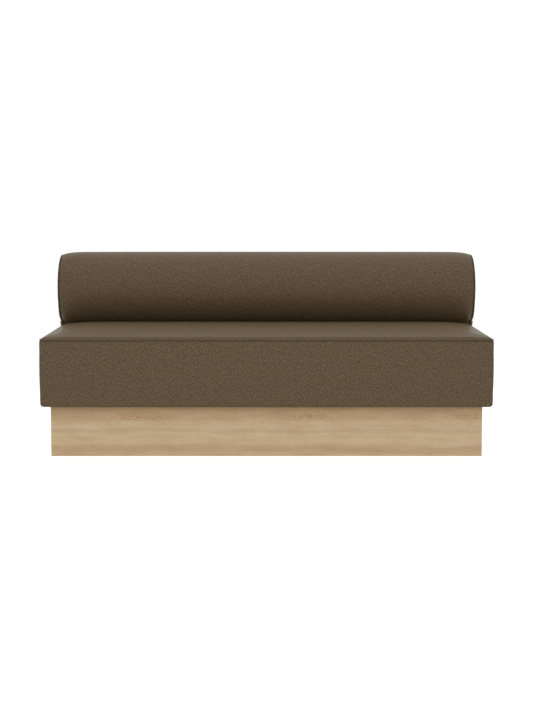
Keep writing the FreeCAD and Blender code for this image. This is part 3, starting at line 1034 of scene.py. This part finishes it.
        # The first rings above the seam get the painted shade
        edge_shade = dict(zip(insets, self.crown_edge_shade))
        for inset in insets:
            plan = self.ring(inset, ends)
            x, y = plan[:, 0], plan[:, 1]
            z = self.top_height(x, y, np.full(len(plan), inset)) + self.front_lift(x, y, inset)
            points.append(np.column_stack([plan, z]))
            seam_shade_rows.append(np.full(len(plan), edge_shade.get(inset, 0.0)))
            rises.append(self.free_rise(x, y, inset))
        return np.stack(points), seam_shade_rows, rises

    def inner_net(self, last: np.ndarray, rows: int, columns: int) -> np.ndarray:
        """A net of points in plan that fills the innermost ring.

        Args:
            last: the ring's points.
            rows: the net's runs from front to back.
            columns: its runs along the bench.

        Returns:
            The net, row by row from the front.
        """
        left, right = last[:rows + 1][::-1], last[::-1][:rows + 1][::-1]
        front = last[rows:rows + columns + 1]
        u = np.linspace(0, 1, columns + 1)[None, :, None]
        v = np.linspace(0, 1, rows + 1)[:, None, None]
        rear = left[-1] + (right[-1] - left[-1]) * u[0]
        net = (1 - v) * front[None] + v * rear[None]
        net = net + (1 - u) * left[:, None] + u * right[:, None]
        corners = (1 - u) * (1 - v) * front[0] + u * (1 - v) * front[-1]
        return net - (corners + (1 - u) * v * rear[0] + u * v * rear[-1])

    def top(self) -> PaddedPiece:
        """Makes the crowned top cloth with the foam that it covers as one closed form."""
        s = self.sizes
        ends = s.neck_front - s.layer_gap
        outer, seam_shade_rows, rises = self.rings(ends)
        levels, count = outer.shape[:2]
        sides, fronts = self.counts(ends)
        half_corner = self.corner_steps // 2
        rows, columns = sides + half_corner, fronts + 2 * half_corner
        inside = self.inner_net(outer[-1], rows, columns)[1:, 1:-1]
        x, y = inside[..., 0].ravel(), inside[..., 1].ravel()
        z = self.top_height(x, y, np.full(len(x), s.crown_reach))
        seam_shade_rows.append(np.zeros(len(x)))
        rises.append(self.free_rise(x, y, s.crown_reach))
        # The net's rim is the innermost ring, and its other points are new
        first = (levels - 1) * count
        index = np.zeros((rows + 1, columns + 1), np.int64)
        index[:, 0] = first + np.arange(rows, -1, -1)
        index[:, -1] = first + np.arange(count - 1 - rows, count)
        index[0, :] = first + np.arange(rows, rows + columns + 1)
        index[1:, 1:-1] = levels * count + np.arange(len(x)).reshape(inside.shape[:2])
        numbers = index.ravel()
        faces = net_faces(levels, count)
        faces += [tuple(numbers[list(face)]) for face in net_faces(rows + 1, columns + 1)]
        points = np.concatenate([outer.reshape(-1, 3), np.column_stack([x, y, z])])
        # A skirt goes down from the open edge to the deck
        loop = list(range(count)) + [count - 1 + count * ring for ring in range(1, levels)]
        loop += list(index[-1, 1:-1][::-1])
        loop += [count * ring for ring in range(levels - 1, 0, -1)]
        skirt = points[loop].copy()
        skirt[:, 2] = s.deck
        base, size = len(points), len(loop)
        for place in range(size):
            after = (place + 1) % size
            faces.append((loop[after], loop[place], base + place, base + after))
        points = np.concatenate([points, skirt])
        seam_shade = np.concatenate([*seam_shade_rows, np.zeros(size)])
        rise = np.concatenate([*rises, np.zeros(size)])
        return PaddedPiece("seat_top_cloth", points, faces, self.top_run(points), seam_shade, rise, 0.9)

    def top_run(self, points: np.ndarray) -> np.ndarray:
        """The cloth's own run over the crown, measured along its surface."""
        s = self.sizes
        near, far = np.linspace(0, 0.02, 60), np.linspace(0.0205, s.crown_reach, 200)
        insets = np.concatenate([near, far])
        lengths = lengths_along(np.column_stack([insets, self.crown_height(insets)]))
        half, front = s.half_width - s.side_draw, s.front + s.side_draw
        extra = lengths[-1] - s.crown_reach
        out = []
        for inset in (half - np.abs(points[:, 0]), points[:, 1] - front):
            held = np.clip(inset, 0, s.crown_reach)
            past = np.clip(inset - s.crown_reach, 0, None)
            out.append(np.interp(held, insets, lengths) + past)
        across = np.sign(points[:, 0]) * (half + extra - out[0])
        return np.column_stack([across, out[1] + CUT_AT["seat_top"]])


@dataclass
class RollBack:
    """The long roll backrest: its cover, two padded end panels, the neck and the outside back.

    A row of cover_seam says how far the cloth is from the roll's end and how far it dips, both
    in millimetres, and how dark the painted shade of the seam makes it. A row of end_rings says
    how far a ring of an end panel is in from the outline and how far out it stands, of 11, and
    how dark its painted seam shade is.
    """

    sizes: BenchSizes = field(default_factory=BenchSizes)
    foam: float = 0.0405
    rise: float = 0.0022
    tuck: float = 0.0002
    angle_steps: int = 84
    cover_seam: Rows = (
        (2.6, 0.05, 0.0), (1.4, 0.4, 0.15), (0.7, 1.1, 0.5), (0.25, 2.2, 0.9), (0.05, 3.6, 1.0),
    )
    end_rings: Rows = (
        (3.6, 0.1, 1.0), (2.0, 0.3, 0.9), (0.9, 0.9, 0.5), (0.25, 2.0, 0.15), (0.0, 3.6, 0.0),
        (0.35, 5.0, 0.0), (1.1, 5.9, 0.0), (2.3, 6.7, 0.0), (4.0, 7.3, 0.0), (6.2, 7.9, 0.0),
        (9.0, 8.4, 0.0), (12.5, 8.9, 0.0), (17.0, 9.4, 0.0), (22.0, 9.8, 0.0),
    )
    low_fullness: float = 0.0055
    fullness_top: float = 0.585
    soft_corner: float = 0.006
    spine_foot: float = 0.500
    spine_y: float = 0.304
    spine_lean: float = 0.019
    spine_steps: int = 9
    fold: float = 0.0014
    fold_reach: float = 0.0040
    edge_steps: Tuple[float, ...] = (0, 0.6, 1.6, 3.2, 6.0)
    top_steps: Tuple[float, ...] = (8.0, 5.0, 3.0, 1.6, 0.7, 0.1)

    def angles(self, radius: Any) -> Tuple[Any, Any]:
        """The angles round the roll where its cloth starts at the neck and ends at the rear."""
        s = self.sizes
        low = -QUARTER + np.arcsin((s.roll_centre_y - s.neck_front) / radius)
        return low, np.pi - np.arccos((s.rear - s.roll_centre_y) / radius)

    def columns(self) -> Tuple[np.ndarray, np.ndarray, np.ndarray]:
        """Places along the cover, how deep each lies in the end seam, and the painted shade there.
        """
        s = self.sizes
        flat_end = s.roll_half_length - s.roll_end_reach
        middle = np.linspace(0, flat_end, 74)
        shoulder = np.linspace(flat_end, s.roll_half_length - 0.004, 20)[1:]
        back, dips, darks = np.array(self.cover_seam).T
        plain = np.zeros(len(middle) + len(shoulder))
        reach = np.concatenate([middle, shoulder, s.roll_half_length - back * MM])
        dip = np.concatenate([plain, dips * MM])
        dark = np.concatenate([plain, darks])
        both = np.concatenate([-reach[::-1], reach[1:]])
        return both, np.concatenate([dip[::-1], dip[1:]]), np.concatenate([dark[::-1], dark[1:]])

    def section(self, radius: np.ndarray, inset: float) -> Tuple[np.ndarray, np.ndarray]:
        """The cover's section at each place along it, from the neck round to the rear's top edge.

        Args:
            radius: the radius at each place.
            inset: how far the section is set in from the cloth.

        Returns:
            The section's places to the rear and its heights, one row for each angle.
        """
        s = self.sizes
        neck = s.neck_front - self.tuck
        low = -QUARTER + np.arcsin((s.roll_centre_y - neck) / radius)
        high = self.angles(radius)[1]
        share = np.linspace(0, 1, self.angle_steps + 1)[:, None]
        angle = low[None] + (high - low)[None] * share
        inner = radius[None] - inset
        return s.roll_centre_y - inner * np.cos(angle), s.roll_centre_z + inner * np.sin(angle)

    def cover(self) -> PaddedPiece:
        """Makes the cover with its foam as one closed form, open at the neck."""
        s = self.sizes
        x, dip, dark = self.columns()
        radius = s.roll_radius_at(x)
        y, z = self.section(radius, 0.0)
        scale = (radius - dip) / radius
        y = np.minimum(s.roll_centre_y + (y - s.roll_centre_y) * scale, s.rear - self.tuck)
        z = s.roll_centre_z + (z - s.roll_centre_z) * scale
        across = np.broadcast_to(x, y.shape)
        share = np.linspace(0, 1, self.angle_steps + 1)[:, None]
        round_run = share * s.roll_radius * math.radians(190) + CUT_AT["roll_cover"]
        run = np.stack([across, np.broadcast_to(round_run, y.shape)], -1)
        ends = ease((s.roll_half_length - 0.006 - np.abs(x)) / 0.05)
        swell = self.rise * ends[None] * (ease((share - 0.14) / 0.12) * ease((1 - share) / 0.08))
        inner_y, inner_z = self.section(radius, self.foam)
        inner_y = np.minimum(inner_y, s.rear - 0.011)
        inner = np.stack([np.broadcast_to(x * 0.9999, y.shape), inner_y, inner_z], -1)
        # The cloth near each end seam carries its painted shade
        cloth = ClothGrid(np.stack([across, y, z], -1), run, np.broadcast_to(dark, y.shape), swell)
        return cloth.padded("roll_cover_cloth", inner, 0.95)

    def keyhole(self) -> np.ndarray:
        """The outline of roll and neck together, as the end panel is cut, in Y and Z."""
        s = self.sizes
        radius = s.roll_radius - s.roll_end_drop
        low, high = self.angles(radius)
        angle = np.linspace(high, low, 150)
        round_part = np.column_stack(
            [s.roll_centre_y - radius * np.cos(angle), s.roll_centre_z + radius * np.sin(angle)]
        )
        soft = self.soft_corner
        foot = s.seam_height + s.layer_gap
        turn_z, front, rear = foot + soft, s.neck_front, s.rear
        return np.concatenate([
            round_part,
            line_up(front, round_part[-1][1], turn_z, 22)[1:],
            arc((front + soft, turn_z), soft, math.pi, 1.5 * math.pi, 6),
            line_across(front + soft, rear - soft, foot, 12)[1:],
            arc((rear - soft, turn_z), soft, -0.5 * math.pi, 0, 6),
            line_up(rear - self.tuck, turn_z, round_part[0][1], 42)[1:-1],
        ])

    def end_panel(self, side: int) -> PaddedPiece:
        """Makes a padded end panel: a keyhole shape whose edge rounds over from the seam.

        Args:
            side: -1 for the left end and 1 for the right.

        Returns:
            The padded piece.
        """
        s = self.sizes
        outline = self.keyhole()
        count = len(outline)
        ahead = np.roll(outline, -1, 0) - outline
        behind = outline - np.roll(outline, 1, 0)
        ahead /= np.linalg.norm(ahead, axis=1)[:, None]
        behind /= np.linalg.norm(behind, axis=1)[:, None]
        first = np.stack([-ahead[:, 1], ahead[:, 0]], 1)
        inward = first + np.stack([-behind[:, 1], behind[:, 0]], 1)
        inward /= np.linalg.norm(inward, axis=1)[:, None]
        inward /= np.clip((inward * first).sum(1), 0.5, 1)[:, None]
        start = s.roll_half_length + s.layer_gap
        depth = s.roll_end - start
        rings, seam_shade, rise = [], [], []
        # Each ring carries the painted shade of the end seam
        for inset, lift, dark in self.end_rings:
            plan = outline + inward * inset * MM
            low = self.low_fullness * ease((self.fullness_top - plan[:, 1]) / 0.09)
            rings.append(np.column_stack([start + lift / 11 * (depth + low), plan]))
            seam_shade.append(np.full(count, dark))
            limit = self.rise * 0.2 * ease_one((inset - 6) / 12) if lift > 8 else 0
            rise.append(np.full(count, limit))
        # From the last ring the panel closes over a spine, which follows roll and neck
        last = rings[-1]
        up = s.roll_centre_z - self.spine_foot
        share = np.clip((last[:, 2] - self.spine_foot) / up, 0, 1)
        spine_y = self.spine_y - self.spine_lean * share
        spine = np.column_stack([np.full(count, s.roll_end), spine_y, self.spine_foot + up * share])
        full = np.maximum(s.roll_end + 0.0004 - last[:, 0], 0.0003)
        for step in range(1, self.spine_steps + 1):
            inward_share = step / self.spine_steps
            ring = last + (spine - last) * inward_share * 0.996
            ring[:, 0] = last[:, 0] + full * math.sin(inward_share * math.pi / 2)
            rings.append(ring)
            seam_shade.append(np.zeros(count))
            rise.append(np.full(count, self.rise * 0.4))
        vertices = np.stack(rings).reshape(-1, 3)
        faces = net_faces(len(rings), count, closed=True)
        run = np.column_stack([vertices[:, 1] + CUT_AT["roll_ends"], vertices[:, 2]])
        if side < 0:
            vertices[:, 0] *= -1
            faces = [tuple(reversed(face)) for face in faces]
        name = f"roll_{'left' if side < 0 else 'right'}_end_pad"
        seam_shades, limits = np.concatenate(seam_shade), np.concatenate(rise)
        return PaddedPiece(name, vertices, faces, run, seam_shades, limits, 0.85)

    def neck(self) -> PaddedPiece:
        """Makes the padded front of the neck, seen in the small gap at each end of the roll."""
        s = self.sizes
        reach = s.roll_half_length
        x = np.linspace(-reach + 0.0003, reach - 0.0003, 120)
        z = np.linspace(s.deck + 0.001, s.roll_centre_z - 0.143, 24)
        across, up = np.meshgrid(x, z)
        edge = ease((reach - np.abs(across)) / 0.006)
        y = np.full_like(across, s.neck_front + self.tuck) + 0.003 * (1 - edge)
        inner = np.stack([across, np.full_like(across, s.neck_front + 0.0112), up], -1)
        run = np.stack([across, up + CUT_AT["neck"]], -1)
        points = np.stack([across, y, up], -1)
        # Painted shade darkens the neck towards each end, beside the end panels
        cloth = ClothGrid(points, run, 1 - edge, np.zeros_like(across))
        return cloth.padded("neck_front_cloth", inner, 0.9)

    def outside_back(self) -> PaddedPiece:
        """Makes the outside back: flat cloth drawn tight over a thin pad, tucked in all round."""
        s = self.sizes
        behind = s.rear - s.roll_centre_y
        top = s.roll_centre_z + math.sqrt(s.roll_radius ** 2 - behind ** 2)
        reach = s.roll_half_length + s.layer_gap + 0.0001
        low = s.plinth_top + 0.0006
        edge_steps, top_steps = np.array(self.edge_steps) * MM, np.array(self.top_steps) * MM
        middle = np.linspace(-reach + 0.012, reach - 0.012, 100)
        x = np.concatenate([-reach + edge_steps, middle, reach - edge_steps[::-1]])
        middle = np.linspace(low + 0.012, top - 0.014, 34)
        across, up = np.meshgrid(x, np.concatenate([low + edge_steps, middle, top - top_steps]))
        roof = s.roll_centre_z + np.sqrt(s.roll_radius_at(across) ** 2 - behind ** 2)
        up = low + (up - low) * (roof - low) / (top - low)
        edge = np.minimum(np.minimum(reach - np.abs(across), up - low), roof - up)
        y = s.rear - self.tuck - self.fold * (1 - ease(edge / self.fold_reach)) ** 1.5
        inner = np.stack([across, np.full_like(across, s.rear - 0.0044), up], -1)
        run = np.stack([across, up + CUT_AT["back"]], -1)
        points = np.stack([across, y, up], -1)
        # Painted shade darkens the cloth along its tucked edges
        cloth = ClothGrid(points, run, 1 - ease(edge / 0.0012), np.zeros_like(across))
        return cloth.padded("outside_back_cloth", inner, 0.95, flip=True)


@dataclass
class DustCover:
    """The thin cloth under the seat, which sags a little between the plinth's dividers."""

    divider_x: float = 0.2807
    divider_half: float = 0.010
    side_x: float = 0.828
    hung_y: Tuple[float, float] = (-0.240, 0.200)
    sag: float = 0.005
    thickness: float = 0.0005

    def drop(self, x: float, y: float) -> float:
        """How far the cloth hangs at a place, from 0 where it is held to 1."""
        inner, outer = self.divider_x - self.divider_half, self.divider_x + self.divider_half
        drop = 0.0
        for start, end in ((-self.side_x, -outer), (-inner, inner), (outer, self.side_x)):
            if start < x < end:
                drop = math.sin(math.pi * (x - start) / (end - start)) ** 0.8
        share = (y - self.hung_y[0]) / (self.hung_y[1] - self.hung_y[0])
        return drop * math.sin(math.pi * share) ** 0.8 if 0 < share < 1 else 0.0

    def make(self, material: bpy.types.Material) -> bpy.types.Object:
        """Makes the sheet with its sag.

        Args:
            material: its finish.

        Returns:
            The finished sheet.
        """
        low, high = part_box("seat_dust_cover")
        width, depth = high.x - low.x, high.y - low.y
        bpy.ops.object.select_all(action="DESELECT")
        middle = ((low.x + high.x) / 2, (low.y + high.y) / 2, low.z)
        bpy.ops.mesh.primitive_grid_add(
            x_subdivisions=120, y_subdivisions=36, size=1.0, location=middle
        )
        made = bpy.context.active_object
        made.name = made.data.name = "underside_dust_cloth"
        made.scale = (width, depth, 1.0)
        bpy.ops.object.transform_apply(location=True, rotation=False, scale=True)
        for vertex in made.data.vertices:
            vertex.co.z = low.z + 0.0002 - self.sag * self.drop(vertex.co.x, vertex.co.y)
        shell = made.modifiers.new("thickness", "SOLIDIFY")
        shell.thickness, shell.offset = self.thickness, 1.0
        bpy.ops.object.modifier_apply(modifier=shell.name)
        made.data.shade_smooth()
        made.data.materials.append(material)
        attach(made, "root")
        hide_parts("seat_dust_cover")
        return made


@dataclass
class FrameFinishes:
    """Gives each CAD node that stays the finish of what it is made of."""

    nodes: Dict[str, bpy.types.Object]
    subparts: List[Dict[str, Any]]

    def grain_of(self, node: str) -> Grain:
        """Which way a wooden node's grain runs: along its longest side."""
        low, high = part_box(node)
        sides = high - low
        return list(Grain)[max(range(3), key=lambda axis: sides[axis])]

    def dress(self) -> None:
        """Puts the finishes on the nodes."""
        made: Dict[Tuple[Slot, Grain], bpy.types.Material] = {}
        for row in self.subparts:
            key = (Slot(row["material_slot"]), self.grain_of(row["node"]))
            if key not in made:
                made[key] = self.finish(*key).make()
            mesh = self.nodes[row["node"]].data
            mesh.materials.clear()
            mesh.materials.append(made[key])
        LOG.info("%d finishes on %d nodes", len(made), len(self.subparts))

    def finish(self, slot: Slot, grain: Grain) -> Finish:
        """The finish of a slot for one direction of grain."""
        end = "_" + grain.value
        if slot is Slot.OAK_VENEER:
            return OakVeneer(name="matt_lacquered_oak_veneer" + end, grain=grain)
        if slot is Slot.PLYWOOD:
            tones = ((0.36, "b7955f"), (0.62, "d3b98c"))
            return PlainWood("sanded_birch_plywood" + end, tones, roughness=0.6, grain=grain,
                             ring_mm=6.0)
        if slot is Slot.TIMBER:
            tones = ((0.36, "b0854d"), (0.62, "d2b07b"))
            return PlainWood("planed_pine" + end, tones, grain=grain)
        if slot is Slot.ELASTIC_WEBBING:
            along_x = grain is Grain.ALONG_BENCH
            return WovenStrap(name="woven_elastic_webbing" + end, along_x=along_x)
        plain = {
            Slot.ZINC_STEEL: ZincSteel(), Slot.NYLON: MouldedNylon(), Slot.FOAM: CutFoam(),
            Slot.DUST_CLOTH: SpunCloth(), Slot.UPHOLSTERY_CLOTH: SpunCloth("backing_of_cloth"),
        }
        return plain[slot]


# The studio


@dataclass(frozen=True)
class SoftBox:
    """A square lamp that isn't mirrored in what it lights."""

    name: str
    place: Place
    target: Place
    size: float
    power: float

    def hang(self) -> None:
        """Hangs the lamp and turns it to its target."""
        data = bpy.data.lights.new(self.name, "AREA")
        data.shape, data.size, data.energy = "SQUARE", self.size, self.power
        made = bpy.data.objects.new(self.name, data)
        made.location = self.place
        aim = Vector(self.target) - Vector(self.place)
        made.rotation_euler = aim.to_track_quat("-Z", "Y").to_euler()
        made.visible_glossy = False
        bpy.context.scene.collection.objects.link(made)


@dataclass
class Studio:
    """A pale floor, a white surround and soft light."""

    surround: float = 0.72
    floor_tone: str = "e6e5e3"
    floor_glow: float = 0.62
    lamps: Tuple[SoftBox, ...] = (
        SoftBox("overhead_softbox", (0, -0.6, 3.6), (0, 0, 0.5), 3.2, 25),
        SoftBox("front_softbox", (0, -4.2, 1.85), (0, 0, 0.4), 3.0, 46),
    )

    @staticmethod
    def by_sight(tree: bpy.types.NodeTree, unseen: Socket, seen: Socket, kind: str) -> None:
        """Ends a tree in one shader for light and another for what is looked at.

        Args:
            tree: the node tree.
            unseen: the shader that the light of the scene meets.
            seen: the shader for the camera, reflections and glass.
            kind: the output node's type.
        """
        path = add_node(tree, "LightPath").outputs
        looked = path["Is Camera Ray"]
        for other in ("Is Glossy Ray", "Is Transmission Ray"):
            values = {"operation": "MAXIMUM", 0: looked, 1: path[other]}
            looked = add_node(tree, "Math", values).outputs[0]
        mixed = add_node(tree, "MixShader", {0: looked, 1: unseen, 2: seen})
        add_node(tree, kind, {"Surface": mixed.outputs[0]})

    def floor(self) -> None:
        """Lays the floor, which shows white with the object's soft shadow."""
        bpy.ops.object.select_all(action="DESELECT")
        bpy.ops.mesh.primitive_plane_add(size=60, location=(0, 0, 0))
        made = bpy.context.active_object
        made.name = "studio_floor"
        material = bpy.data.materials.new("painted_studio_floor")
        material.use_nodes = True
        tree = material.node_tree
        tree.nodes.clear()
        matt = add_node(tree, "BsdfDiffuse", {"Color": linear(self.floor_tone)}).outputs[0]
        glow = add_node(tree, "Emission", {"Strength": self.floor_glow}).outputs[0]
        lit = add_node(tree, "AddShader", {0: matt, 1: glow}).outputs[0]
        self.by_sight(tree, matt, lit, "OutputMaterial")
        made.data.materials.append(material)

    def world(self) -> None:
        """Makes the surround: white to the camera, a plain even light to the object."""
        world = bpy.data.worlds.new("studio_surround")
        bpy.context.scene.world = world
        world.use_nodes = True
        tree = world.node_tree
        tree.nodes.clear()
        even, white = (
            add_node(tree, "Background", {"Color": linear(WHITE), "Strength": strength}).outputs[0]
            for strength in (self.surround, 1.0)
        )
        self.by_sight(tree, even, white, "OutputWorld")

    def set_up(self) -> None:
        """Lays the floor, makes the surround and hangs the lamps."""
        self.floor()
        self.world()
        for lamp in self.lamps:
            lamp.hang()


@dataclass
class PhotoCamera:
    """The camera at the photograph's place: straight in front, a little above the bench."""

    distance: float = 5.940
    height: float = 1.026
    pitch: float = 6.297
    lens: float = 72.30

    def place(self) -> None:
        """Sets the camera up."""
        data = bpy.data.cameras.new("photo_camera")
        data.lens = self.lens
        data.sensor_width = 36.0
        data.clip_start, data.clip_end = 0.1, 200.0
        made = bpy.data.objects.new("photo_camera", data)
        made.location = (0.0, -self.distance, self.height)
        made.rotation_euler = (math.radians(90 - self.pitch), 0.0, 0.0)
        bpy.context.scene.collection.objects.link(made)
        bpy.context.scene.camera = made


def build_bench() -> None:
    """Builds the whole scene, piece by piece."""
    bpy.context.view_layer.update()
    bpy.context.scene.view_settings.view_transform = "Standard"
    PhotoCamera().place()
    Studio().set_up()
    FrameFinishes(frame["nodes"], frame["record"]["subparts"]).dress()
    wool = MelangeWool().make()
    seat, back = SeatCushion(), RollBack()
    jobs = (
        (seat.top(), ("seat_top_panel", "seat_foam")),
        (seat.border(), ("seat_boxing", "seat_front_pad", "seat_right_pad", "seat_left_pad")),
        (back.cover(), ("roll_cover", "roll_foam")),
        (back.end_panel(-1), ("roll_left_end",)),
        (back.end_panel(1), ("roll_right_end",)),
        (back.neck(), ("neck_cloth", "neck_pad")),
        (back.outside_back(), ("outside_back",)),
    )
    for piece, nodes in jobs:
        made = piece.build()
        piece.inflate(made)
        piece.finish(made, wool, nodes)
    DustCover().make(SpunCloth().make())


if __name__ == "__main__":
    logging.basicConfig(level=logging.INFO, format="%(name)s: %(message)s")
    build_bench()
